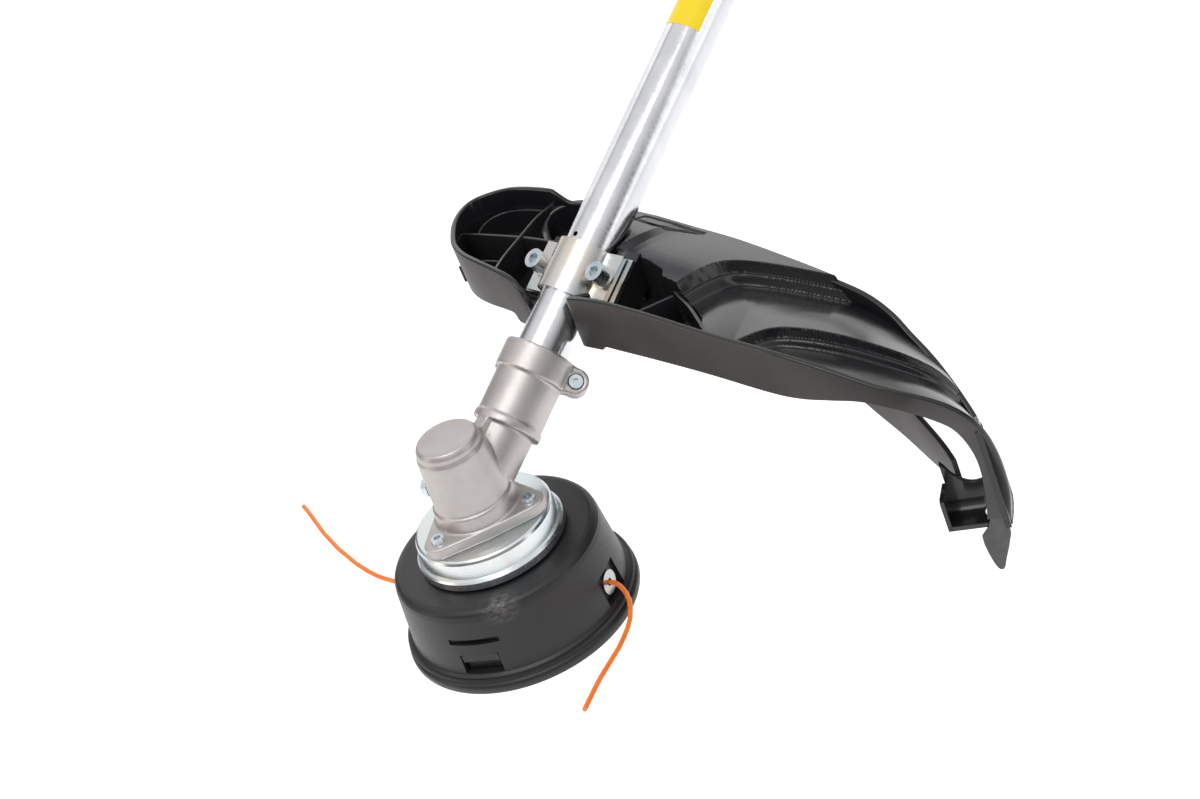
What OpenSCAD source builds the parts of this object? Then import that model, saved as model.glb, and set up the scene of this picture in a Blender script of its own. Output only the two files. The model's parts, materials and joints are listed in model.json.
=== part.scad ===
// Lower unit of a straight-shaft string trimmer: bump-feed head, angled gear
// case, clamped debris guard with its line cutter, and the drive tube that ends
// in a spigot for the power head's coupler. Millimetres.
//
// The head's spin axis is +Z and the tube climbs towards +X. The part's origin
// is the seat of the coupler spigot, at the operator's end of the tube.

/* [Tube] */
// Angle between the tube and the head's spin axis
tube_angle = 61.5; // [58:0.5:64]
// Outer diameter of the drive tube
tube_d = 26; // [25:0.5:26]
// Wall of the drive tube
tube_wall = 1.5; // [1.2:0.1:2]
// Length of the drive tube
tube_length = 700; // [500:10:900]
// Diameter of the drive shaft inside the tube
rod_d = 7; // [6:0.5:7]
// Number of bushes that carry the drive shaft
bush_count = 4; // [3:1:6]
// Diameter of the coupler spigot
spigot_d = 25; // [24:0.5:25]
// Length of the coupler spigot
spigot_length = 60; // [40:5:80]

/* [Head] */
// Largest radius of the head, at its bottom rim
head_rim_r = 58.6; // [58:0.1:60]
// Radius of the drum at its top edge
drum_top_r = 51; // [50:0.5:52]
// Height of the drum's flat top above the rim
drum_top_z = 44; // [43:0.5:44.5]
// Height of the line's exit above the rim
line_exit_z = 17.5; // [16:0.5:19]
// Diameter of the cutting line
line_d = 2.4; // [2:0.1:2.7]

/* [Gear case] */
// Radius of the boss at its base
boss_base_r = 19.2; // [18.6:0.1:19.6]
// Radius of the boss below its cap
boss_top_r = 16.9; // [16.5:0.1:17.5]
// Height of the boss's top above the rim
boss_top_z = 107.8; // [107:0.1:110]
// Radius of the neck that holds the tube
neck_r = 16.3; // [16:0.1:17]
// Radius of the clamping collar at the neck's mouth
collar_r = 17.9; // [17.5:0.1:19]

/* [Guard] */
// Distance of the clamp from the crossing of the axes, along the tube
clamp_s = 118.6; // [115:0.5:122]
// Length of the clamp along the tube
clamp_length = 26; // [24:1:30]
// Distance of each clamp screw from the tube's axis
clamp_screw_y = 21.4; // [21.4:0.1:22]
// Wall of the guard
guard_wall = 3; // [2.5:0.5:3.5]

/* [Hidden] */
$fn = 96;
eps = 0.01;

// Tube and drive shaft, as distances along the tube from the axes' crossing
tube_r = tube_d / 2;
tube_bore_r = tube_r - tube_wall;
tube_start = 42;
tube_end = tube_start + tube_length;
spigot_collar = 5;
spigot_collar_r = 14.5;
spigot_plug = 40;
spigot_bore_r = 6;
seat_s = tube_end + spigot_collar;
rod_r = rod_d / 2;
rod_start = 46;
square_side = 5.2;
running_gap = 0.05;
label_start = 250;
label_length = 80;
label_half_angle = 60;
label_thickness = 0.15;
sight_hole_s = 134.5;

// Gear case; the tube's axis meets the spin axis at axes_height above the rim
axes_height = 71;
flange_z = 60;
flange_t = 6;
flange_screw_r = 26.7;
flange_screw_angles = [180, 60, -60];
flange_screw_hole_r = 2.2;
boss_cap_z = 102;
collar_top_s = 77;
collar_s = 63;
neck_base_s = 36;
grease_z = 80;
grease_angle = 115;
input_bearings_s = [24, 32];
bearing_608 = [4, 11, 7];
bearing_6000 = [5, 13, 8];
bearing_6001 = [6, 14, 8];
lower_bearing_z = 63;
upper_bearing_z = 91;
// Split lug of the collar: how far out its screw lies, and the turn of the lug
lug_s = 70;
lug_r = 20.8;
lug_turn = 45;
lug_face = 7.5;
lug_width_r = 6.4;
lug_counterbore = 4.2;
locating_s = 66;
locating_face = 19.8;

// Bevel pair: the two pitch cones share the crossing of the axes
gear_teeth = 19;
pinion_teeth = 13;
cone_distance = 22;
gear_cone = atan2(sin(tube_angle), pinion_teeth / gear_teeth + cos(tube_angle));
pinion_cone = tube_angle - gear_cone;
face_ratio = 0.7;
gear_module = 2 * cone_distance * sin(gear_cone) / gear_teeth;

// Guard: one row for each rib line, from the short end round to the cutter end.
// Front edge x, y; back edge x, y; then heights: front wall's bottom and top,
// roof at the front and at the back, back wall's top and bottom
guard_stations = [
    [111, 103, 138, 112, 106, 133, 110, 110, 133, 105],
    [100, 93, 149, 99, 106, 134, 110, 110, 133, 105],
    [93, 74, 155, 78, 106, 134, 110, 110, 131, 104],
    [89, 48, 161, 48, 106, 134, 110, 111, 127, 104],
    [85, 19, 165, 19, 106, 132, 110, 112, 124, 104],
    [83, 15, 165, 14, 103, 108, 107, 112, 123, 104],
    [80, -14, 165, -14, 103, 108, 107, 112, 122, 104],
    [80, -17, 164, -17, 106, 134, 110, 113, 121, 104],
    [80, -45, 163, -45, 107, 136, 111, 115, 120, 103],
    [80, -62, 162, -60, 110, 135, 133, 116, 118, 92],
    [80, -85, 160, -82, 109, 134, 132.5, 114, 115.5, 88],
    [80, -112, 158, -106, 107, 132, 130.5, 110, 111.5, 88],
    [80, -140, 159, -130, 106, 130, 128.5, 105, 106.5, 90],
    [81, -160, 156, -146, 107, 126, 124.5, 99, 100.5, 84],
    [84, -176, 153, -158, 109, 122, 120.5, 92, 93.5, 77],
    [89, -193, 149, -170, 104, 115, 113.5, 85, 86.5, 69],
    [97, -209, 145, -181, 95, 106, 104.5, 78, 79.5, 60],
    [106, -222, 140, -192, 79, 94, 92.5, 69, 70.5, 50],
    [111, -226, 136, -200, 66, 82, 80.5, 62, 63.5, 42]
];
roof_steps = 5;
// The roof is a flat ribbed tray up to tray_end_y, and crowned beyond it
tray_end_y = -50;
roof_crown = 4;
end_wall_outer_r = 249;
end_wall_z = 25;
end_wall_height = 38;
end_wall_angle = -61.8;
end_wall_sweep = 4;
// Skirt: x, y of its outer face, then its bottom and top
skirt_stations = [
    [159.6, -45, 82, 100], [158.4, -62, 66, 100], [156.4, -84, 44, 96],
    [153.5, -100, 29, 76], [151, -116, 28, 60], [146, -137, 28, 52],
    [138, -158, 28, 44], [127.5, -182, 26, 36.5]
];
skirt_screw_places = [[162.3, -60, 96.5], [160.4, -82, 92]];
skirt_screw_r = 1.9;
cutter_angle = -59.4;
cutter_screw_r = 1.6;
// Block that holds the cutter: nearest and farthest radius
holder_r = [216, 245.4];
holder_z = 15;
holder_size = [15, 18];
blade_s = 239;
screw_clearance = 0.1;
boss_half_width = 30;
boss_depth = 24;
flange_gap = 0.4;
clamp_t = 2.5;
clamp_flange_w = 26.5;

// Line ends: routes on the head, z = line_exit_z
front_route = [
    [17, -44], [19, -48.5], [20, -53], [19, -57.5], [16.5, -63.5], [13, -69],
    [8.5, -74], [3.5, -78.5], [-2, -82], [-8, -85], [-14, -87.5],
    [-20.5, -89.5], [-27, -91.5], [-33.5, -93.5], [-40, -96], [-46, -98.5],
    [-52, -101]
];
rear_route = [
    [-17, 44], [-19, 48.5], [-21, 54], [-22.5, 60], [-23.5, 66.5], [-24, 73],
    [-24, 79.5], [-23.5, 86], [-22.5, 92.5], [-21.5, 99], [-20, 105.5],
    [-18.5, 112], [-17, 118.5], [-15, 125], [-13, 131.5], [-11, 138],
    [-8.5, 144.5], [-6, 151], [-3.5, 157.5], [-1, 164], [1, 170]
];
exit_angle = -68.6;
eyelet_r = 52.5;
latch_angles = [-152, 28];

// ---------------------------------------------------------------- frames

// Head frame: +Z is the spin axis, z = 0 the bottom of the head's rim
module head_frame()
    translate([-seat_s * sin(tube_angle), 0, -axes_height - seat_s * cos(tube_angle)])
        children();

// Tube frame: +Z climbs the tube, +X points down at the ground, +Y is sideways
module tube_frame(s = 0)
    head_frame()
        translate([0, 0, axes_height])
            rotate([0, tube_angle, 0])
                translate([0, 0, s])
                    children();

// ---------------------------------------------------------------- helpers

module ring(outer_r, inner_r, height)
    difference() {
        cylinder(r = outer_r, h = height);
        translate([0, 0, -1])
            cylinder(r = inner_r, h = height + 2);
    }

// Outer race with a ball groove; size = [bore r, outer r, width]
module outer_race(size) {
    middle = (size[0] + size[1]) / 2;
    ball = ball_r(size);
    difference() {
        ring(size[1], middle + ball * 0.55, size[2]);
        translate([0, 0, size[2] / 2])
            rotate_extrude()
                translate([middle, 0])
                    circle(r = ball + running_gap, $fn = 48);
    }
}

module inner_race(size) {
    middle = (size[0] + size[1]) / 2;
    ball = ball_r(size);
    difference() {
        ring(middle - ball * 0.55, size[0], size[2]);
        translate([0, 0, size[2] / 2])
            rotate_extrude()
                translate([middle, 0])
                    circle(r = ball + running_gap, $fn = 48);
    }
}

function ball_r(size) = (size[1] - size[0]) * 0.28;

module ball_set(size, count)
    for (i = [0 : count - 1])
        rotate([0, 0, i * 360 / count])
            translate([(size[0] + size[1]) / 2, 0, size[2] / 2])
                sphere(r = ball_r(size), $fn = 24);

// Socket-head cap screw; the head sits on z = 0 and the shank points down
module cap_screw(shank_r, length, head_r, head_h, hex) {
    difference() {
        cylinder(r = head_r, h = head_h);
        translate([0, 0, head_h * 0.45])
            cylinder(r = hex / sqrt(3), h = head_h, $fn = 6);
    }
    translate([0, 0, -length])
        cylinder(r = shank_r, h = length);
}

// Pan-head screw with a star recess
module star_screw(shank_r, length, head_r, head_h) {
    difference() {
        cylinder(r1 = head_r, r2 = head_r * 0.85, h = head_h);
        for (turn = [0, 60, 120])
            rotate([0, 0, turn])
                translate([-head_r * 0.5, -head_r * 0.14, head_h * 0.4])
                    cube([head_r, head_r * 0.28, head_h]);
    }
    translate([0, 0, -length])
        cylinder(r = shank_r, h = length);
}

// Bevel teeth: a toothed outline at the outer end that shrinks towards the apex
module bevel_teeth(teeth, cone, depth_ratio) {
    outer_r = cone_distance * sin(cone);
    tip = 0.55 * gear_module * cos(cone);
    root = 0.85 * gear_module * cos(cone);
    tooth = 360 / teeth;
    outline = [
        for (i = [0 : teeth - 1])
            for (corner = [[-0.25, -root], [-0.12, tip], [0.12, tip], [0.25, -root]])
                let (angle = (i + corner[0]) * tooth, r = outer_r + corner[1])
                    [r * cos(angle), r * sin(angle)]
    ];
    height = cone_distance * cos(cone) * (1 - depth_ratio);
    translate([0, 0, cone_distance * cos(cone)])
        mirror([0, 0, 1])
            linear_extrude(height = height, scale = depth_ratio)
                polygon(outline);
}

// Round tube swept along a flat route
function route_direction(route, i) =
    let (a = route[max(i - 1, 0)], b = route[min(i + 1, len(route) - 1)])
        (b - a) / norm(b - a);

module swept_line(route, r) {
    sides = 8;
    count = len(route);
    points = [
        for (i = [0 : count - 1])
            let (d = route_direction(route, i))
                for (k = [0 : sides - 1])
                    let (angle = k * 360 / sides)
                        [
                            route[i][0] - d[1] * r * cos(angle),
                            route[i][1] + d[0] * r * cos(angle),
                            r * sin(angle)
                        ]
    ];
    walls = [
        for (i = [0 : count - 2])
            for (k = [0 : sides - 1])
                let (a = i * sides + k, b = i * sides + (k + 1) % sides)
                    for (face = [[a, a + sides, b], [b, a + sides, b + sides]])
                        face
    ];
    caps = [
        [for (k = [0 : sides - 1]) k],
        [for (k = [sides - 1 : -1 : 0]) (count - 1) * sides + k]
    ];
    polyhedron(points = points, faces = concat(walls, caps), convexity = 4);
}

// ---------------------------------------------------------------- tube

module shaft_tube() color([0.83, 0.84, 0.86])
    difference() {
        tube_frame(tube_start)
            ring(tube_r, tube_bore_r, tube_length);
        tube_frame(sight_hole_s)
            rotate([0, -90, 0])
                cylinder(r = 1.3, h = 2 * tube_r);
        tube_frame(locating_s)
            rotate([-90, 0, 0])
                cylinder(r = 2.7, h = 2 * tube_r);
    }

module coupler_spigot() color([0.7, 0.71, 0.73])
    tube_frame(tube_end)
        difference() {
            union() {
                translate([0, 0, -spigot_plug])
                    cylinder(r = tube_bore_r, h = spigot_plug + eps);
                cylinder(r = spigot_collar_r, h = spigot_collar);
                translate([0, 0, spigot_collar - eps])
                    cylinder(r = spigot_d / 2, h = spigot_length + eps);
            }
            translate([0, 0, -spigot_plug - 1])
                cylinder(r = spigot_bore_r, h = spigot_plug + spigot_length + 10);
        }

module shaft_bushes() color([0.25, 0.25, 0.26])
    for (i = [0 : bush_count - 1])
        tube_frame(tube_start + 60 + i * (tube_length - 150) / (bush_count - 1))
            ring(tube_bore_r, rod_r + running_gap, 20);

module warning_label() color([1, 0.9, 0.1])
    tube_frame(label_start)
        rotate([0, 0, 180 - label_half_angle])
            rotate_extrude(angle = 2 * label_half_angle)
                translate([tube_r, 0])
                    square([label_thickness, label_length]);

// ---------------------------------------------------------------- gear case

module case_outside() {
    head_frame() {
        translate([0, 0, flange_z])
            linear_extrude(height = flange_t)
                hull() {
                    circle(r = 22);
                    for (angle = flange_screw_angles)
                        rotate(angle)
                            translate([flange_screw_r, 0])
                                circle(r = 7.5, $fn = 32);
                }
        translate([0, 0, flange_z + flange_t - eps])
            cylinder(r1 = 20.7, r2 = 19.9, h = 7.5);
        translate([0, 0, flange_z + flange_t])
            cylinder(r1 = boss_base_r, r2 = boss_top_r, h = boss_cap_z - flange_z - flange_t);
        translate([0, 0, boss_cap_z - eps])
            cylinder(r1 = 16.1, r2 = 15.8, h = 3.6);
        translate([0, 0, boss_cap_z + 3.5])
            cylinder(r1 = 15.8, r2 = 14.4, h = boss_top_z - boss_cap_z - 3.5);
    }
    tube_frame() {
        translate([0, 0, 4])
            cylinder(r1 = 13.7, r2 = 14.4, h = neck_base_s - 3);
        translate([0, 0, neck_base_s])
            cylinder(r = neck_r + 0.8, h = 4);
        translate([0, 0, neck_base_s + 3])
            cylinder(r = neck_r, h = collar_s - neck_base_s);
        translate([0, 0, collar_s])
            cylinder(r = collar_r, h = collar_top_s - collar_s);
    }
    // Split lug on the collar's lower side
    tube_frame(lug_s)
        rotate([0, 0, lug_turn])
            hull() {
                translate([-lug_face, -lug_r, 0])
                    rotate([0, 90, 0])
                        cylinder(r = lug_width_r, h = 2 * lug_face, $fn = 32);
                translate([-lug_face, -12, -lug_width_r])
                    cube([2 * lug_face, 1, 2 * lug_width_r]);
            }
    // Boss for the locating screw
    tube_frame(locating_s)
        rotate([-90, 0, 0])
            cylinder(r = 4.8, h = locating_face);
    // Gusset between the boss and the neck
    hull() {
        head_frame()
            translate([8, -3.5, 84])
                cube([4, 7, 15]);
        tube_frame(26)
            translate([-16.4, -3.5, 0])
                cube([4, 7, 10]);
    }
}

module gear_case() color([0.7, 0.67, 0.66])
    difference() {
        case_outside();
        head_frame() {
            translate([0, 0, flange_z - 1])
                cylinder(r = bearing_6001[1], h = upper_bearing_z - flange_z);
            translate([0, 0, upper_bearing_z - 2])
                cylinder(r = bearing_6000[1], h = bearing_6000[2] + 3);
            for (angle = flange_screw_angles)
                rotate([0, 0, angle])
                    translate([flange_screw_r, 0, flange_z - 1])
                        cylinder(r = flange_screw_hole_r, h = flange_t + 2);
            // Grease hole, on the side away from the neck
            translate([0, 0, grease_z])
                rotate([0, 90, grease_angle])
                    cylinder(r = 3.4, h = 25);
        }
        tube_frame() {
            translate([0, 0, 2])
                cylinder(r = 10.4, h = 25);
            translate([0, 0, input_bearings_s[0]])
                cylinder(r = bearing_608[1], h = tube_start - input_bearings_s[0] + 1);
            translate([0, 0, 39.2])
                cylinder(r = 11.9, h = 1.4);
            translate([0, 0, tube_start])
                cylinder(r = tube_r, h = 40);
            // Clamping slit through the lug
            rotate([0, 0, lug_turn])
                translate([-1, -30, 50])
                    cube([2, 22, 30]);
        }
        tube_frame(lug_s)
            rotate([0, 0, lug_turn])
                translate([0, -lug_r, 0])
                    rotate([0, -90, 0]) {
                        translate([0, 0, -20])
                            cylinder(r = 2.1, h = 40);
                        translate([0, 0, lug_face - lug_counterbore])
                            cylinder(r = 3.7, h = 12);
                    }
        tube_frame(locating_s)
            rotate([-90, 0, 0])
                cylinder(r = 2.5, h = 30);
    }

module pinch_screw() color([0.75, 0.77, 0.8])
    tube_frame(lug_s)
        rotate([0, 0, lug_turn])
            translate([-lug_face + lug_counterbore, -lug_r, 0])
                rotate([0, -90, 0])
                    cap_screw(2, 2 * lug_face - lug_counterbore, 3.4, 3.9, 3);

module locating_screw() color([0.75, 0.77, 0.8])
    tube_frame(locating_s)
        translate([0, locating_face, 0])
            rotate([-90, 0, 0])
                cap_screw(2.4, locating_face - 12, 3.9, 2.6, 3);

module grease_plug() color([0.6, 0.6, 0.62])
    head_frame()
        translate([0, 0, grease_z])
            rotate([0, 90, grease_angle])
                difference() {
                    union() {
                        translate([0, 0, 14.6])
                            cylinder(r = 3.3, h = 5);
                        translate([0, 0, 19.6])
                            cylinder(r = 5.2, h = 2.8, $fn = 6);
                    }
                    translate([0, 0, 21.2])
                        cube([12, 1.2, 2.6], center = true);
                }

module flange_screws() color([0.78, 0.78, 0.8])
    head_frame()
        for (angle = flange_screw_angles)
            rotate([0, 0, angle])
                translate([flange_screw_r, 0, flange_z + flange_t])
                    star_screw(2, 8.5, 3.6, 2.2);

// Stepped cup of pressed steel, held under the gear case's flange
module grass_cup() color([0.78, 0.84, 0.86])
    head_frame()
        difference() {
            rotate_extrude()
                polygon([
                    [14, 60], [14, 58.5], [31.6, 58.5], [32.9, 57.2], [33.6, 50.6],
                    [34.8, 49], [35.5, 48], [35.5, 45.4], [37, 45.4], [37, 49],
                    [36.2, 49.9], [35, 50.4], [34.4, 58.2], [33.8, 59.4], [32.8, 60]
                ]);
            for (angle = flange_screw_angles)
                rotate([0, 0, angle])
                    translate([flange_screw_r, 0, 55])
                        cylinder(r = flange_screw_hole_r, h = 8);
        }

module oil_seal() color([0.12, 0.12, 0.13])
    head_frame()
        translate([0, 0, flange_z])
            ring(bearing_6001[1], bearing_6001[0] + running_gap, 2.8);

module input_circlip() color([0.3, 0.3, 0.32])
    tube_frame(39.3)
        difference() {
            ring(11.8, 9.4, 1.2);
            translate([0, -2, -1])
                cube([20, 4, 4]);
        }

// ---------------------------------------------------------------- bearings

module input_outer_races() color([0.8, 0.8, 0.82])
    for (s = input_bearings_s)
        tube_frame(s)
            outer_race(bearing_608);

module input_inner_races() color([0.8, 0.8, 0.82])
    for (s = input_bearings_s)
        tube_frame(s)
            inner_race(bearing_608);

module input_balls() color([0.9, 0.9, 0.92])
    for (s = input_bearings_s)
        tube_frame(s)
            ball_set(bearing_608, 7);

module output_outer_races() color([0.8, 0.8, 0.82])
    head_frame() {
        translate([0, 0, lower_bearing_z])
            outer_race(bearing_6001);
        translate([0, 0, upper_bearing_z])
            outer_race(bearing_6000);
    }

module output_inner_races() color([0.8, 0.8, 0.82])
    head_frame() {
        translate([0, 0, lower_bearing_z])
            inner_race(bearing_6001);
        translate([0, 0, upper_bearing_z])
            inner_race(bearing_6000);
    }

module output_balls() color([0.9, 0.9, 0.92])
    head_frame() {
        translate([0, 0, lower_bearing_z])
            ball_set(bearing_6001, 8);
        translate([0, 0, upper_bearing_z])
            ball_set(bearing_6000, 8);
    }

// ---------------------------------------------------------------- guard

// One cross-section of the guard, as a closed loop of points
function guard_section(row) =
    let (
        front = [row[0], row[1]],
        back = [row[2], row[3]],
        inward = (back - front) / norm(back - front) * guard_wall,
        front_in = front + inward,
        back_in = back - inward
    )
    concat(
        [
            [front[0], front[1], row[4]],
            [front[0], front[1], row[5]],
            [front_in[0], front_in[1], row[5]]
        ],
        [for (i = [0 : roof_steps]) roof_point(front_in, back_in, row, i, 0)],
        [
            [back_in[0], back_in[1], row[8]],
            [back[0], back[1], row[8]],
            [back[0], back[1], row[9]],
            [back_in[0], back_in[1], row[9]]
        ],
        [for (i = [roof_steps : -1 : 0]) roof_point(front_in, back_in, row, i, guard_wall)],
        [[front_in[0], front_in[1], row[4]]]
    );

// The roof is crowned where it stands high, and flat where it is a ribbed tray
function roof_point(front_in, back_in, row, i, drop) =
    let (
        v = i / roof_steps,
        p = front_in + (back_in - front_in) * v,
        crown = row[1] < tray_end_y ? roof_crown * sin(180 * v) : 0
    )
        [p[0], p[1], row[6] + (row[7] - row[6]) * v + crown - drop];

module guard_loft() {
    loops = [for (row = guard_stations) guard_section(row)];
    sides = len(loops[0]);
    count = len(loops);
    points = [for (loop = loops) for (p = loop) p];
    walls = [
        for (i = [0 : count - 2])
            for (k = [0 : sides - 1])
                let (a = i * sides + k, b = i * sides + (k + 1) % sides)
                    for (face = [[a, b, a + sides], [b, b + sides, a + sides]])
                        face
    ];
    first = end_faces(sides);
    last = [
        for (face = end_faces(sides))
            [for (k = [2 : -1 : 0]) face[k] + (count - 1) * sides]
    ];
    polyhedron(points = points, faces = concat(walls, first, last), convexity = 6);
}

// The loop is three strips: front wall, roof and back wall
function end_faces(sides) =
    let (
        roof = roof_steps + 1,
        front_in_low = sides - 1,
        under_front = sides - 2,
        top_front = 3,
        top_back = top_front + roof - 1,
        under_back = top_back + 5
    )
    concat(
        [
            [0, 1, front_in_low], [1, 2, front_in_low],
            [2, under_front, front_in_low], [2, top_front, under_front]
        ],
        [
            for (i = [0 : roof_steps - 1])
                for (
                    face = [
                        [top_front + i, top_front + i + 1, under_front - i],
                        [top_front + i + 1, under_front - i - 1, under_front - i]
                    ]
                )
                    face
        ],
        [
            [top_back, top_back + 1, top_back + 2],
            [top_back, top_back + 2, under_back],
            [under_back, top_back + 2, top_back + 3],
            [under_back, top_back + 3, top_back + 4]
        ]
    );

module guard_shell() color([0.12, 0.12, 0.13])
    difference() {
        union() {
            head_frame()
                guard_loft();
            // End wall round the cutter, and its front flange
            head_frame()
                translate([0, 0, end_wall_z])
                    rotate([0, 0, end_wall_angle]) {
                        rotate_extrude(angle = end_wall_sweep)
                            translate([end_wall_outer_r - guard_wall, 0])
                                square([guard_wall, end_wall_height]);
                        translate([end_wall_outer_r - 12, 0, 0])
                            cube([10, guard_wall, end_wall_height + 14]);
                    }
            // Mounting block under the clamp
            tube_frame(clamp_s)
                translate([flange_gap + clamp_t, -boss_half_width, -clamp_length / 2 - 2])
                    cube([boss_depth - flange_gap - clamp_t, 2 * boss_half_width, clamp_length + 6]);
            // Ribs of the tray, beside the mounting block
            head_frame()
                for (y = [40, 66, 88])
                    translate([100, y, 108.5])
                        cube([50, 2.2, 13]);
            head_frame()
                translate([112, -52, 109])
                    cube([46, 2.2, 14]);
        }
        skirt_screw_holes();
        // Seat for the clamp and the tube
        tube_frame(clamp_s - 60)
            cylinder(r = tube_r + clamp_t + 0.3, h = 90);
        for (side = [-1, 1])
            tube_frame(clamp_s)
                translate([0, side * clamp_screw_y, 0])
                    rotate([0, 90, 0]) {
                        cylinder(r = 3.2, h = 40);
                        translate([0, 0, 17])
                            cylinder(r = 6.6, h = 30);
                    }
    }

// Half of the clamp: a strap over the tube with a flange on each side
module clamp_half(flange_w) {
    difference() {
        union() {
            translate([0, 0, -clamp_length / 2])
                cylinder(r = tube_r + clamp_t, h = clamp_length);
            translate([-flange_gap - clamp_t, -flange_w, -clamp_length / 2])
                cube([clamp_t, 2 * flange_w, clamp_length]);
        }
        cylinder(r = tube_r, h = 2 * clamp_length, center = true);
        translate([-flange_gap, -50, -clamp_length])
            cube([50, 100, 2 * clamp_length]);
        for (side = [-1, 1])
            translate([0, side * clamp_screw_y, 0])
                rotate([0, 90, 0])
                    cylinder(r = 3.3, h = 20, center = true);
    }
}

module guard_clamp_upper() color([0.82, 0.8, 0.76])
    tube_frame(clamp_s)
        clamp_half(clamp_flange_w);

module guard_clamp_lower() color([0.82, 0.8, 0.76])
    tube_frame(clamp_s)
        rotate([0, 0, 180])
            clamp_half(boss_half_width);

module at_clamp_screws(level)
    for (side = [-1, 1])
        tube_frame(clamp_s)
            translate([-level, side * clamp_screw_y, 0])
                rotate([0, -90, 0])
                    children();

module clamp_screws() color([0.75, 0.8, 0.85])
    at_clamp_screws(flange_gap + clamp_t + 3)
        cap_screw(3, 26, 5, 6, 5);

module clamp_spring_washers() color([0.7, 0.72, 0.75])
    at_clamp_screws(flange_gap + clamp_t + 1.4)
        difference() {
            ring(5, 3.1, 1.6);
            translate([0, -0.4, -1])
                cube([8, 0.8, 4]);
        }

module clamp_flat_washers() color([0.78, 0.8, 0.82])
    at_clamp_screws(flange_gap + clamp_t)
        ring(5.8, 3.1, 1.4);

module clamp_nuts() color([0.75, 0.78, 0.8])
    at_clamp_screws(-22)
        difference() {
            cylinder(r = 10 / sqrt(3), h = 5, $fn = 6);
            translate([0, 0, -1])
                cylinder(r = 3, h = 7);
        }

// Wall that stands on a line of stations [x, y, bottom, top], thickened towards
// the spin axis
module standing_wall(stations, thickness) {
    count = len(stations);
    points = [
        for (i = [0 : count - 1])
            let (
                here = stations[i],
                outer = [here[0], here[1]],
                inner = outer - outer / norm(outer) * thickness
            )
                for (p = [[outer, here[2]], [outer, here[3]], [inner, here[3]], [inner, here[2]]])
                    [p[0][0], p[0][1], p[1]]
    ];
    walls = [
        for (i = [0 : count - 2])
            for (k = [0 : 3])
                let (a = i * 4 + k, b = i * 4 + (k + 1) % 4)
                    for (face = [[a, a + 4, b], [b, a + 4, b + 4]])
                        face
    ];
    last = (count - 1) * 4;
    ends = [[0, 1, 2, 3], [last + 3, last + 2, last + 1, last]];
    polyhedron(points = points, faces = concat(walls, ends), convexity = 4);
}

module skirt_screw_holes()
    head_frame()
        for (place = skirt_screw_places)
            translate([place[0] - 10, place[1], place[2]])
                rotate([0, 90, 0])
                    cylinder(r = skirt_screw_r + screw_clearance, h = 12);

// Cutter frame: the head frame turned so that +X points outwards at the cutter
module cutter_frame()
    head_frame()
        rotate([0, 0, cutter_angle])
            children();

// Curved skirt inside the guard's back wall, with the block that holds the cutter
module cutter_skirt() color([0.14, 0.14, 0.15])
    difference() {
        union() {
            head_frame()
                standing_wall(skirt_stations, 2.5);
            cutter_frame()
                translate([holder_r[0], 0, holder_z])
                    cube([holder_r[1] - holder_r[0], holder_size[0], holder_size[1]]);
        }
        skirt_screw_holes();
        cutter_screw_hole();
    }

module cutter_screw_hole()
    cutter_frame()
        translate([blade_s, -5, 26])
            rotate([-90, 0, 0])
                cylinder(r = cutter_screw_r + screw_clearance, h = 10);

module skirt_screws() color([0.5, 0.5, 0.52])
    head_frame()
        for (place = skirt_screw_places)
            translate([place[0], place[1], place[2]])
                rotate([0, 90, 0])
                    star_screw(skirt_screw_r, 8, 3.6, 2.2);

module line_cutter_blade() color([0.6, 0.6, 0.6])
    difference() {
        cutter_frame()
            translate([blade_s, 0, 2])
                rotate([90, 0, 0])
                    linear_extrude(height = 1.8)
                        hull() {
                            circle(r = 5, $fn = 32);
                            translate([0, 26])
                                square([12, 6], center = true);
                        }
        cutter_screw_hole();
    }

module cutter_screw() color([0.6, 0.6, 0.62])
    cutter_frame()
        translate([blade_s, -1.8, 26])
            rotate([90, 0, 0])
                star_screw(cutter_screw_r, 4.7, 3.2, 2);

// ---------------------------------------------------------------- drive line

module drive_shaft() color([0.62, 0.63, 0.66])
    tube_frame() {
        translate([0, 0, rod_start])
            cylinder(r = rod_r, h = seat_s - 12 - rod_start);
        translate([-square_side / 2, -square_side / 2, rod_start - 12])
            cube([square_side, square_side, 12 + eps]);
        translate([-square_side / 2, -square_side / 2, seat_s - 12 - eps])
            cube([square_side, square_side, 24]);
    }

module bevel_pinion() color([0.55, 0.55, 0.58])
    tube_frame()
        difference() {
            union() {
                // Half a tooth of turn puts a gap where the gear has a tooth
                rotate([0, 0, 180 + 180 / pinion_teeth])
                    bevel_teeth(pinion_teeth, pinion_cone, face_ratio);
                translate([0, 0, 19])
                    cylinder(r = 6, h = input_bearings_s[0] - 19);
                translate([0, 0, 19])
                    cylinder(r = bearing_608[0], h = 26);
            }
            translate([-square_side / 2, -square_side / 2, rod_start - 12])
                cube([square_side, square_side, 20]);
        }

module output_shaft() color([0.6, 0.61, 0.64])
    head_frame() {
        translate([0, 0, 34])
            cylinder(r = 5, h = 66);
        translate([0, 0, 46])
            cylinder(r = bearing_6001[0], h = 25);
    }

module bevel_gear() color([0.55, 0.55, 0.58])
    head_frame()
        difference() {
            union() {
                translate([0, 0, axes_height])
                    bevel_teeth(gear_teeth, gear_cone, face_ratio);
                translate([0, 0, 88.4])
                    cylinder(r = 9, h = upper_bearing_z - 88.4);
            }
            translate([0, 0, 60])
                cylinder(r = 5, h = 40);
        }

module gear_spacer() color([0.6, 0.6, 0.62])
    head_frame()
        translate([0, 0, 71])
            ring(6.6, 5, 12);

// ---------------------------------------------------------------- head

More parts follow.
